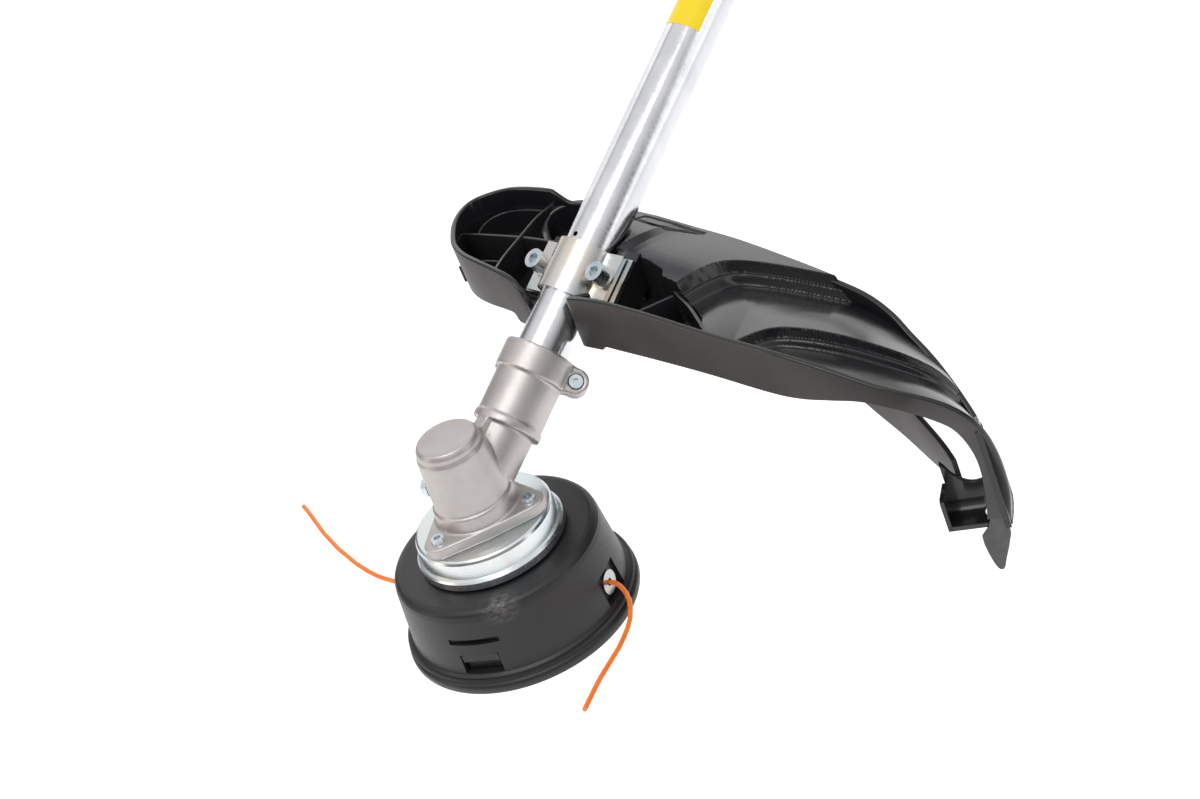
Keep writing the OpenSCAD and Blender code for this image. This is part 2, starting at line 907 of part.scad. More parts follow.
module holding_flange() color([0.72, 0.76, 0.78])
    head_frame()
        difference() {
            union() {
                translate([0, 0, drum_top_z])
                    cylinder(r = 26, h = 3);
                translate([0, 0, drum_top_z + 3 - eps])
                    cylinder(r1 = 14, r2 = 11, h = 5);
            }
            translate([0, 0, 40])
                cylinder(r = bearing_6001[0], h = 20);
            translate([0, 0, 40])
                cylinder(r = 5, h = 10);
        }

module drum_profile()
    polygon([
        [54.2, 5.4], [57.6, 5.4], [57.6, 7.6], [56.4, 8.6], [55.4, 9.4],
        [drum_top_r + 1.4, drum_top_z - 5], [drum_top_r + 0.9, drum_top_z - 2.6],
        [drum_top_r, drum_top_z - 1.3], [drum_top_r - 1.6, drum_top_z - 0.3],
        [drum_top_r - 3.4, drum_top_z], [6, drum_top_z], [6, 38], [9.2, 38],
        [9.2, 30], [13.5, 30], [13.5, 41], [47.6, 41], [48.9, 39], [51.6, 9]
    ]);

module head_housing() color([0.1, 0.1, 0.11])
    head_frame()
        difference() {
            rotate_extrude()
                drum_profile();
            // Pocket and hole for each eyelet
            for (turn = [0, 180])
                rotate([0, 0, exit_angle + turn]) {
                    translate([eyelet_r - 0.8, -9, line_exit_z - 8])
                        cube([12, 18, 16]);
                    translate([40, 0, line_exit_z])
                        rotate([0, 90, 0])
                            cylinder(r = 4.4, h = 20);
                }
            // Latch windows and the slots above them
            for (angle = latch_angles)
                rotate([0, 0, angle]) {
                    translate([48, -10, 10])
                        cube([12, 20, 10.5]);
                    translate([50.8, -13, 26.4])
                        cube([6, 26, 3]);
                }
        }

module head_cover() color([0.1, 0.1, 0.11])
    head_frame() {
        rotate_extrude()
            polygon([
                [30, 1], [34, 1], [36, 2.4], [52, 2.4], [54, 0.6], [56.6, 0],
                [head_rim_r, 0], [head_rim_r, 4], [57.6, 5.2], [53.8, 5.2],
                [51, 4.8], [34, 4.8], [32.4, 6], [30, 6]
            ]);
        for (angle = latch_angles)
            rotate([0, 0, angle]) {
                translate([48.4, -9.4, 4.4])
                    cube([2.4, 18.8, 16]);
                translate([50, -9.4, 16])
                    cube([3.2, 18.8, 4]);
            }
    }

module line_eyelets() color([0.8, 0.8, 0.82])
    head_frame()
        for (turn = [0, 180])
            rotate([0, 0, exit_angle + turn])
                translate([eyelet_r - 7, 0, line_exit_z])
                    rotate([0, 90, 0])
                        difference() {
                            union() {
                                cylinder(r = 4.4, h = 7);
                                translate([0, 0, 6.2])
                                    cylinder(r = 6, h = 1.6);
                            }
                            translate([0, 0, -1])
                                cylinder(r = 1.9, h = 12);
                        }

module head_nut() color([0.75, 0.76, 0.78])
    head_frame()
        translate([0, 0, 30])
            difference() {
                cylinder(r = 9.2, h = 8, $fn = 6);
                translate([0, 0, -1])
                    cylinder(r = 5, h = 12);
            }

// Compression spring between the hub and its seat, drawn as its envelope coil
module feed_spring() color([0.7, 0.71, 0.74])
    head_frame()
        translate([0, 0, 20])
            difference() {
                cylinder(r = 19, h = 21);
                translate([0, 0, -1])
                    cylinder(r = 17, h = 23);
            }

module line_end(route)
    head_frame()
        translate([0, 0, line_exit_z])
            swept_line(route, line_d / 2);

module line_end_front() color([1, 0.42, 0.12])
    line_end(front_route);

module line_end_rear() color([1, 0.42, 0.12])
    line_end(rear_route);

module spring_seat() color([0.6, 0.62, 0.65])
    head_frame()
        translate([0, 0, 18.5])
            ring(20.5, 14.4, 1.5);

module line_spool() color([0.16, 0.16, 0.17])
    head_frame()
        rotate_extrude()
            polygon([
                [14.6, 8], [44.6, 8], [44.6, 10], [24.5, 10.5], [24.5, 34.5],
                [44.6, 35], [44.6, 36.6], [21.5, 36.6], [21.5, 18.3], [14.6, 18.3]
            ]);

module wound_line() color([1, 0.42, 0.12])
    head_frame()
        rotate_extrude() {
            translate([24.5, 11])
                square([14.5, 23]);
            for (z = [0 : 8])
                translate([39, 12.4 + z * 2.5])
                    circle(r = 1.2, $fn = 24);
        }

module bump_knob() color([0.12, 0.12, 0.13])
    head_frame()
        rotate_extrude()
            polygon([
                [0, -14], [14, -14], [21, -12.2], [26, -8], [28.4, -2],
                [28.6, 3], [26, 4.4], [25, 8], [0, 8]
            ]);

// ---------------------------------------------------------------- assembly

shaft_tube();
coupler_spigot();
shaft_bushes();
warning_label();
gear_case();
pinch_screw();
locating_screw();
grease_plug();
flange_screws();
grass_cup();
oil_seal();
input_circlip();
input_outer_races();
input_balls();
output_outer_races();
output_balls();
guard_shell();
guard_clamp_upper();
guard_clamp_lower();
clamp_screws();
clamp_spring_washers();
clamp_flat_washers();
clamp_nuts();
cutter_skirt();
skirt_screws();
line_cutter_blade();
cutter_screw();
drive_shaft();
bevel_pinion();
input_inner_races();
output_shaft();
bevel_gear();
gear_spacer();
output_inner_races();
holding_flange();
head_housing();
head_cover();
line_eyelets();
head_nut();
feed_spring();
line_end_front();
line_end_rear();
spring_seat();
line_spool();
wound_line();
bump_knob();
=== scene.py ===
"""String trimmer lower unit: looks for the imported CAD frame.

The scene is in metres. Forms are drawn in millimetres in the head frame, which hangs
on the record's joints: its origin is on the spin axis, level with the foot of the head.
"""

import json
import math

import bmesh
import bpy
import numpy as np
from mathutils import Matrix, Vector


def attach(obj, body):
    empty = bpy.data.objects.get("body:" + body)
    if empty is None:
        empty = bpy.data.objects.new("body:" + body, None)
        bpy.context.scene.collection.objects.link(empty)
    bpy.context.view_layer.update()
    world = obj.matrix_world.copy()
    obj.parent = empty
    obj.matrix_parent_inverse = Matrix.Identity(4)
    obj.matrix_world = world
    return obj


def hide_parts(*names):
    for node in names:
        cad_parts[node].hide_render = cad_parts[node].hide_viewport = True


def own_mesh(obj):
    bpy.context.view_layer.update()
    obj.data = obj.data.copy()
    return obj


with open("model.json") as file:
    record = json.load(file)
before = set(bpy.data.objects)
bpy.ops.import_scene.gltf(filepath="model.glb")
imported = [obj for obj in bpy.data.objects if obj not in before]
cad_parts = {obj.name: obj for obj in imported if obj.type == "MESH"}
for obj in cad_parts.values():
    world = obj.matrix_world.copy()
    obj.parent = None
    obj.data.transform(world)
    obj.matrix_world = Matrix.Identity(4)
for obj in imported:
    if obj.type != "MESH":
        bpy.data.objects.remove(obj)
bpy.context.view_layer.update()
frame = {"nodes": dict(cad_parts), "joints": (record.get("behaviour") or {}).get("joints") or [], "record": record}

MM = 0.001
JOINTS = {joint["name"]: joint for joint in frame["joints"]}

HEAD = Vector(JOINTS["head_spin"]["pos_m"])
TUBE = Vector(JOINTS["drive_spin"]["axis"]).normalized()
SIDE = Vector((0, 1, 0))
DOWN = SIDE.cross(TUBE)
# Height in the head frame at which the tube's axis meets the spin axis
AXES_HEIGHT = 71 * MM


def at_head(x, y, z):
    """A point given in millimetres in the head frame."""
    return HEAD + Vector((x, y, z)) * MM


def at_tube(along, down=0, side=0):
    """A point along the tube from where its axis meets the spin axis, in millimetres."""
    return HEAD + Vector((0, 0, AXES_HEIGHT)) + (TUBE * along + DOWN * down + SIDE * side) * MM


# ---------------------------------------------------------------- camera and light

CAMERA_PLACE = (-493.8, -867.1, 705.1)
CAMERA_FORWARD = (0.4748, 0.7077, -0.5233)
CAMERA_ROLL = math.radians(-22.9)
# Brightness of the studio tent from straight down at 0 to straight up at 1
TENT = [(0.0, 0.4), (0.44, 0.35), (0.52, 0.22), (0.6, 0.12), (0.72, 0.45), (0.88, 0.85)]
FLOOR_DROP = 0.5
FLOOR_HALF = 7


def make_camera():
    """The photo's view: from the front left and above, rolled so the tube leans right."""
    camera = bpy.data.objects.new("camera", bpy.data.cameras.new("camera"))
    bpy.context.scene.collection.objects.link(camera)
    forward = Vector(CAMERA_FORWARD).normalized()
    level = forward.to_track_quat("-Z", "Y").to_matrix()
    camera.location = at_head(*CAMERA_PLACE)
    camera.rotation_euler = (level @ Matrix.Rotation(CAMERA_ROLL, 3, "Z")).to_euler()
    camera.data.sensor_width = 36
    camera.data.lens = 75.11
    camera.data.clip_start = 0.05
    camera.data.clip_end = 20
    bpy.context.scene.camera = camera


def area_light(name, place, target, size, power, colour=(1, 1, 1)):
    """A softbox that faces the target: metres and watts."""
    data = bpy.data.lights.new(name, "AREA")
    data.shape = "RECTANGLE"
    data.size, data.size_y = size
    data.energy = power
    data.color = colour
    light = bpy.data.objects.new(name, data)
    light.location = place
    light.rotation_euler = (target - place).to_track_quat("-Z", "Y").to_euler()
    bpy.context.scene.collection.objects.link(light)


def make_lights():
    """Four softboxes in a tent that is bright overhead and darkest above the horizon."""
    target = at_head(60, -40, 60)
    area_light("key_softbox", target + Vector((-0.55, -0.25, 1.25)), target, (0.9, 0.7), 5.5)
    warm = (1, 0.84, 0.75)
    area_light("left_softbox", target + Vector((-1.2, 0.9, 0.5)), target, (0.5, 1.3), 3, warm)
    area_light("right_softbox", target + Vector((0.6, -1.4, 0.5)), target, (0.5, 1.2), 2.2)
    area_light("back_softbox", target + Vector((0.95, 1.05, 0.45)), target, (1.9, 0.8), 4.6)
    world = bpy.data.worlds.new("studio")
    world.use_nodes = True
    tree = world.node_tree
    sky = tree.nodes.new("ShaderNodeTexCoord")
    axes = tree.nodes.new("ShaderNodeSeparateXYZ")
    ramp = tree.nodes.new("ShaderNodeValToRGB")
    elements = ramp.color_ramp.elements
    while len(elements) < len(TENT):
        elements.new(0.5)
    for element, (at, tone) in zip(elements, TENT):
        element.position = at
        element.color = (tone, tone, tone * 1.01, 1)
    lift = tree.nodes.new("ShaderNodeMapRange")
    lift.inputs["From Min"].default_value = -1
    tree.links.new(sky.outputs["Generated"], axes.inputs[0])
    tree.links.new(axes.outputs["Z"], lift.inputs["Value"])
    tree.links.new(lift.outputs["Result"], ramp.inputs["Fac"])
    tree.links.new(ramp.outputs["Color"], tree.nodes["Background"].inputs["Color"])
    bpy.context.scene.world = world
    bpy.context.scene.view_settings.view_transform = "Standard"


def make_floor():
    """A pale floor well below the head, so it takes only a faint shadow."""
    mesh = bpy.data.meshes.new("floor")
    signs = [(-1, -1), (1, -1), (1, 1), (-1, 1)]
    corners = [HEAD + Vector((FLOOR_HALF * x, FLOOR_HALF * y, -FLOOR_DROP)) for x, y in signs]
    mesh.from_pydata(corners, [], [(0, 1, 2, 3)])
    floor = bpy.data.objects.new("floor", mesh)
    bpy.context.scene.collection.objects.link(floor)
    material = bpy.data.materials.new("pale_floor")
    material.use_nodes = True
    shader = material.node_tree.nodes["Principled BSDF"]
    shader.inputs["Base Color"].default_value = (0.95, 0.95, 0.95, 1)
    shader.inputs["Roughness"].default_value = 0.9
    shader.inputs["Emission Color"].default_value = (1, 1, 1, 1)
    shader.inputs["Emission Strength"].default_value = 0.4
    mesh.materials.append(material)


# ---------------------------------------------------------------- materials


class Surface:
    """A node material on one Principled shader, built up by short calls."""

    def __init__(self, name, colour, roughness, metallic=0.0, **sockets):
        self.material = bpy.data.materials.new(name)
        self.material.use_nodes = True
        self.tree = self.material.node_tree
        self.shader = self.tree.nodes["Principled BSDF"]
        self.set("Base Color", (*colour, 1))
        self.set("Roughness", roughness)
        self.set("Metallic", metallic)
        for socket, value in sockets.items():
            self.set(socket.replace("_", " "), value)
        self.normal = None

    def set(self, socket, value):
        """Sets one value on the shader's own socket."""
        self.shader.inputs[socket].default_value = value

    def node(self, kind, **inputs):
        """A new node with some of its inputs set by name."""
        made = self.tree.nodes.new(kind)
        for name, value in inputs.items():
            made.inputs[name.replace("_", " ")].default_value = value
        return made

    def link(self, out, into):
        """Joins an output to an input."""
        self.tree.links.new(out, into)

    def place(self, scale=(1, 1, 1), turn=(0, 0, 0)):
        """Object coordinates about the head's origin, turned and scaled."""
        coordinates = self.node("ShaderNodeTexCoord")
        shift = self.node("ShaderNodeVectorMath")
        shift.operation = "SUBTRACT"
        shift.inputs[1].default_value = HEAD
        self.link(coordinates.outputs["Object"], shift.inputs[0])
        mapping = self.node("ShaderNodeMapping", Rotation=turn, Scale=scale)
        self.link(shift.outputs[0], mapping.inputs["Vector"])
        return mapping.outputs["Vector"]

    def noise(self, vector, scale, detail=4, rough=0.55):
        """Noise from 0 to 1 at a vector."""
        made = self.node("ShaderNodeTexNoise", Scale=scale, Detail=detail, Roughness=rough)
        self.link(vector, made.inputs["Vector"])
        return made.outputs["Fac"]

    def ramp(self, value, *stops):
        """A colour ramp: each stop is a place from 0 to 1 and a grey or a colour."""
        made = self.tree.nodes.new("ShaderNodeValToRGB")
        elements = made.color_ramp.elements
        while len(elements) < len(stops):
            elements.new(0.5)
        for element, (at, colour) in zip(elements, stops):
            element.position = at
            if isinstance(colour, (int, float)):
                colour = (colour, colour, colour)
            element.color = (*colour, 1)
        self.link(value, made.inputs["Fac"])
        return made.outputs["Color"]

    def multiply(self, a, b):
        """The product of two outputs or numbers, held between 0 and 1."""
        made = self.tree.nodes.new("ShaderNodeMath")
        made.operation = "MULTIPLY"
        made.use_clamp = True
        for socket, value in zip(made.inputs, (a, b)):
            if isinstance(value, (int, float)):
                socket.default_value = value
            else:
                self.link(value, socket)
        return made.outputs["Value"]

    def mix(self, factor, a, b):
        """Colour a where the factor is 0 and colour b where it is 1."""
        made = self.tree.nodes.new("ShaderNodeMix")
        made.data_type = "RGBA"
        self.link(factor, made.inputs["Factor"])
        for socket, value in ((made.inputs["A"], a), (made.inputs["B"], b)):
            if isinstance(value, tuple):
                socket.default_value = (*value, 1)
            else:
                self.link(value, socket)
        return made.outputs["Result"]

    def paint(self, out):
        """Drives the colour."""
        self.link(out, self.shader.inputs["Base Color"])

    def polish(self, out):
        """Drives the roughness."""
        self.link(out, self.shader.inputs["Roughness"])

    def bump(self, height, distance, strength=1.0):
        """Adds a relief, whose height is the distance in metres."""
        made = self.node("ShaderNodeBump", Strength=strength, Distance=distance)
        self.link(height, made.inputs["Height"])
        if self.normal is not None:
            self.link(self.normal, made.inputs["Normal"])
        self.normal = made.outputs["Normal"]
        self.link(self.normal, self.shader.inputs["Normal"])

    def near(self, place, inner, outer):
        """White within inner metres of a place, fading to black at outer."""
        coordinates = self.node("ShaderNodeTexCoord")
        gap = self.node("ShaderNodeVectorMath")
        gap.operation = "DISTANCE"
        gap.inputs[1].default_value = place
        self.link(coordinates.outputs["Object"], gap.inputs[0])
        scaled = self.multiply(gap.outputs["Value"], 1 / outer)
        return self.ramp(scaled, (inner / outer, 1.0), (1.0, 0.0))

    def edge_wear(self, low=0.52, high=0.6):
        """White on convex edges, from the mesh's own curvature."""
        geometry = self.tree.nodes.new("ShaderNodeNewGeometry")
        return self.ramp(geometry.outputs["Pointiness"], (low, 0.0), (high, 1.0))


def tube_turn():
    """Turns object coordinates so that Z runs along the tube."""
    return (0, -math.acos(TUBE.z), 0)


def tube_aluminium():
    """Polished tube with fine streaks along its length."""
    look = Surface("tube_aluminium", (0.72, 0.73, 0.76), 0.16, 1.0)
    fine = look.noise(look.place((900, 900, 6), tube_turn()), 1.0, 3)
    broad = look.noise(look.place((60, 60, 2), tube_turn()), 1.0, 3)
    look.polish(look.ramp(fine, (0.3, 0.11), (0.7, 0.24)))
    look.paint(look.ramp(broad, (0.3, (0.66, 0.67, 0.70)), (0.7, (0.80, 0.80, 0.82))))
    look.bump(fine, 0.00002, 0.5)
    return look.material


def turned_aluminium():
    """Turned aluminium, ringed across the tube's direction."""
    look = Surface("turned_aluminium", (0.52, 0.5, 0.5), 0.3, 1.0)
    rings = look.noise(look.place((20, 20, 1800), tube_turn()), 1.0, 2)
    look.polish(look.ramp(rings, (0.3, 0.18), (0.7, 0.34)))
    look.bump(rings, 0.00002, 0.6)
    return look.material


def case_casting():
    """Grained, slightly blotched casting, brighter on its edges."""
    look = Surface("case_casting", (0.5, 0.47, 0.45), 0.42, 0.92)
    where = look.place()
    grain = look.noise(where, 1600, 6)
    cloud = look.noise(where, 45, 4)
    tone = look.ramp(cloud, (0.3, (0.50, 0.47, 0.455)), (0.7, (0.60, 0.57, 0.555)))
    look.paint(look.mix(look.edge_wear(), tone, (0.74, 0.72, 0.70)))
    look.polish(look.ramp(grain, (0.3, 0.36), (0.7, 0.52)))
    look.bump(grain, 0.00006, 0.8)
    return look.material


def zinc_steel():
    """Zinc plate that drifts from blue to straw."""
    look = Surface("zinc_steel", (0.72, 0.79, 0.82), 0.24, 1.0)
    where = look.place()
    cloud = look.noise(where, 30, 3)
    fine = look.noise(where, 1500, 3)
    blue, pale, straw = (0.66, 0.75, 0.80), (0.76, 0.81, 0.82), (0.82, 0.82, 0.77)
    look.paint(look.ramp(cloud, (0.3, blue), (0.5, pale), (0.7, straw)))
    look.polish(look.ramp(fine, (0.3, 0.2), (0.7, 0.28)))
    look.bump(fine, 0.000004, 0.4)
    return look.material


def clamp_steel():
    """Warmer plate of the pressed clamp, with a faint ripple."""
    look = Surface("clamp_steel", (0.8, 0.79, 0.76), 0.2, 1.0)
    where = look.place()
    cloud = look.noise(where, 55, 3)
    fine = look.noise(where, 240, 4)
    look.paint(look.ramp(cloud, (0.35, (0.64, 0.68, 0.70)), (0.6, (0.76, 0.70, 0.62))))
    look.polish(look.ramp(fine, (0.3, 0.22), (0.7, 0.3)))
    look.bump(look.noise(where, 90, 2), 0.00006, 0.3)
    return look.material


def screw_steel():
    """Bluish zinc plate of the screws and nuts."""
    look = Surface("screw_steel", (0.66, 0.74, 0.79), 0.24, 1.0)
    where = look.place()
    cloud = look.noise(where, 160, 3)
    look.paint(look.ramp(cloud, (0.3, (0.55, 0.64, 0.70)), (0.7, (0.78, 0.83, 0.85))))
    look.polish(look.ramp(look.noise(where, 1200, 4), (0.3, 0.18), (0.7, 0.34)))
    return look.material


def guard_plastic():
    """Gloss black moulding of the roof and tray."""
    black = (0.012, 0.012, 0.014)
    look = Surface("guard_plastic", black, 0.2, Coat_Weight=0.15, Coat_Roughness=0.1)
    where = look.place()
    fine = look.noise(where, 700, 4)
    flow = look.noise(where, 28, 3)
    look.paint(look.ramp(flow, (0.3, (0.010, 0.010, 0.012)), (0.7, (0.018, 0.018, 0.020))))
    look.polish(look.ramp(flow, (0.3, 0.15), (0.7, 0.27)))
    look.bump(fine, 0.00003, 0.4)
    return look.material


def guard_satin():
    """Satin, slightly brown outer face of the band, rim and skirt."""
    look = Surface("guard_satin", (0.038, 0.034, 0.032), 0.42)
    where = look.place()
    fine = look.noise(where, 1300, 5)
    cloud = look.noise(where, 24, 4)
    look.paint(look.ramp(cloud, (0.3, (0.030, 0.026, 0.025)), (0.7, (0.048, 0.042, 0.040))))
    look.polish(look.ramp(cloud, (0.3, 0.36), (0.7, 0.5)))
    look.bump(fine, 0.00005, 0.6)
    return look.material


# Where the front of the drum has a paler, speckled patch, near its upper edge
PALE_PATCH_PLACE = (-33, -37, 43.5)


def head_plastic():
    """Grained black moulding with one paler, speckled patch on the drum's front."""
    look = Surface("head_plastic", (0.02, 0.019, 0.02), 0.4)
    where = look.place()
    grain = look.noise(where, 1900, 5)
    mottle = look.noise(look.place((1, 1, 4)), 260, 8, 0.75)
    patch = look.near(at_head(*PALE_PATCH_PLACE), 2 * MM, 11 * MM)
    # A paler, speckled patch near the drum's upper edge, brightest at its middle and fading outwards
    pale_speckle = look.multiply(patch, look.ramp(mottle, (0.44, 0.0), (0.56, 1.0)))
    look.paint(look.mix(pale_speckle, (0.016, 0.015, 0.017), (0.13, 0.12, 0.115)))
    look.polish(look.ramp(mottle, (0.3, 0.34), (0.7, 0.46)))
    look.bump(grain, 0.00005, 0.6)
    return look.material


def line_nylon():
    """Orange line that lets a little light through."""
    orange = (1.0, 0.2, 0.03)
    look = Surface("line_nylon", orange, 0.3, Subsurface_Weight=0.3, Subsurface_Scale=0.002)
    where = look.place()
    look.paint(look.ramp(look.noise(where, 120, 3), (0.3, (1.0, 0.20, 0.015)), (0.7, (1.0, 0.27, 0.03))))
    look.bump(look.noise(where, 900, 3), 0.00003, 0.5)
    return look.material


def label_yellow():
    """Plain yellow label."""
    look = Surface("label_yellow", (1.0, 0.72, 0.0), 0.4, Coat_Weight=0.1, Coat_Roughness=0.1)
    where = look.place()
    look.paint(look.ramp(look.noise(where, 60, 3), (0.3, (1.0, 0.70, 0.0)), (0.7, (1.0, 0.76, 0.0))))
    look.bump(look.noise(where, 300, 3), 0.00002, 0.4)
    return look.material


def dark_rubber(name, tone):
    """Matt rubber with a fine grain."""
    look = Surface(name, (tone, tone, tone), 0.75)
    where = look.place()
    grain = look.noise(where, 1200, 5)
    look.polish(look.ramp(grain, (0.3, 0.65), (0.7, 0.85)))
    look.bump(grain, 0.00005, 0.8)
    return look.material


def ground_steel(name, tone, rough):
    """Ground or hardened steel."""
    look = Surface(name, (tone, tone, tone), rough, 1.0)
    where = look.place()
    fine = look.noise(where, 1400, 4)
    low, high = tone * 0.85, tone * 1.1
    look.paint(look.ramp(look.noise(where, 90, 3), (0.3, low), (0.7, high)))
    look.polish(look.ramp(fine, (0.3, rough * 0.8), (0.7, rough * 1.3)))
    look.bump(fine, 0.00002, 0.5)
    return look.material


MATERIALS = {
    "tube_aluminium": tube_aluminium(),
    "turned_aluminium": turned_aluminium(),
    "case_casting": case_casting(),
    "zinc_steel": zinc_steel(),
    "clamp_steel": clamp_steel(),
    "screw_steel": screw_steel(),
    "guard_plastic": guard_plastic(),
    "guard_satin": guard_satin(),
    "head_plastic": head_plastic(),
    "line_nylon": line_nylon(),
    "label_yellow": label_yellow(),
    "seal_rubber": dark_rubber("seal_rubber", 0.03),
    "bush_rubber": dark_rubber("bush_rubber", 0.06),
    "bearing_steel": ground_steel("bearing_steel", 0.72, 0.18),
    "gear_steel": ground_steel("gear_steel", 0.42, 0.32),
    "cutter_steel": ground_steel("cutter_steel", 0.11, 0.42),
}


def dress_cad_nodes():
    """Gives each CAD node its slot's material, and the gear case its rounded skin."""
    for part in frame["record"]["subparts"]:
        node = frame["nodes"][part["node"]]
        node.data.materials.clear()
        node.data.materials.append(MATERIALS[part["material_slot"]])
    soften_casting(frame["nodes"]["gear_case"])


def soften_casting(node):
    """Rounds every corner of a casting, as its mould did."""
    remesh = node.modifiers.new("casting_skin", "REMESH")
    remesh.mode = "VOXEL"
    remesh.voxel_size = 0.6 * MM
    remesh.use_smooth_shade = True
    smooth = node.modifiers.new("mould_fillets", "SMOOTH")
    smooth.factor = 0.5
    smooth.iterations = 7


# ---------------------------------------------------------------- cutting line

LINE_EXIT_Z = 17.5
LINE_R = 1.2 * MM
# Each end of the line from its eyelet to its tip, in plan in the head frame
FRONT_ROUTE = [
    (17, -44), (19, -48.5), (20, -53), (19, -57.5), (16.5, -63.5), (13, -69),
    (8.5, -74), (3.5, -78.5), (-2, -82), (-8, -85), (-14, -87.5),
    (-20.5, -89.5), (-27, -91.5), (-33.5, -93.5), (-40, -96), (-46, -98.5),
    (-52, -101),
]
REAR_ROUTE = [
    (-17, 44), (-19, 48.5), (-21, 54), (-22.5, 60), (-23.5, 66.5), (-24, 73),
    (-24, 79.5), (-23.5, 86), (-22.5, 92.5), (-21.5, 99), (-20, 105.5),
    (-18.5, 112), (-17, 118.5), (-15, 125), (-13, 131.5), (-11, 138),
    (-8.5, 144.5), (-6, 151), (-3.5, 157.5), (-1, 164), (1, 170),
]


def cutting_line(node, route):
    """One end of the cutting line, as a curve along the same route as its CAD tube."""
    points = [at_head(x, y, LINE_EXIT_Z) for x, y in route]
    curve = bpy.data.curves.new(node, "CURVE")
    curve.dimensions = "3D"
    curve.bevel_depth = LINE_R
    curve.bevel_resolution = 6
    curve.use_fill_caps = True
    spline = curve.splines.new("POLY")
    spline.points.add(len(points) - 1)
    for slot, point in zip(spline.points, points):
        slot.co = (*point, 1)
    piece = bpy.data.objects.new(node.replace("line_end", "cutting_line"), curve)
    bpy.context.scene.collection.objects.link(piece)
    curve.materials.append(MATERIALS["line_nylon"])
    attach(piece, "head")
    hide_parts(node)


# ---------------------------------------------------------------- mesh helpers


def smooth_path(points, spacing, straight=False):
    """Points along a Catmull-Rom curve, or a polyline, no further apart than spacing."""
    points = [Vector(point) for point in points]
    made = []
    for i, (a, b) in enumerate(zip(points, points[1:])):
        before = points[max(i - 1, 0)]
        after = points[min(i + 2, len(points) - 1)]
        steps = max(1, math.ceil((b - a).length / spacing))
        for k in range(steps):
            t = k / steps
            if straight:
                made.append(a.lerp(b, t))
                continue
            cubic = (3 * (a - b) + after - before) * t**3
            square = (2 * before - 5 * a + 4 * b - after) * t**2
            made.append((2 * a + (b - before) * t + square + cubic) / 2)
    return made + [points[-1]]


def distance_to(path, x, y):
    """Distance in plan from each grid point to a path."""
    best = np.full(x.shape, 1e9)
    for (ax, ay), (bx, by) in zip(path, path[1:]):
        dx, dy = bx - ax, by - ay
        along = np.clip(((x - ax) * dx + (y - ay) * dy) / (dx * dx + dy * dy), 0, 1)
        best = np.minimum(best, np.hypot(x - ax - along * dx, y - ay - along * dy))
    return best


def inside(outline, x, y):
    """True where a grid point lies within a closed outline in plan."""
    odd = np.zeros(x.shape, bool)
    for (ax, ay), (bx, by) in zip(outline, outline[1:] + outline[:1]):
        if ay == by:
            continue
        crosses = (ay > y) != (by > y)
        odd ^= crosses & (x < ax + (y - ay) * (bx - ax) / (by - ay))
    return odd


# How far in from the sharp corner a rounded corner's middle lies, as a share of its radius
ROUND_CUT = 0.3


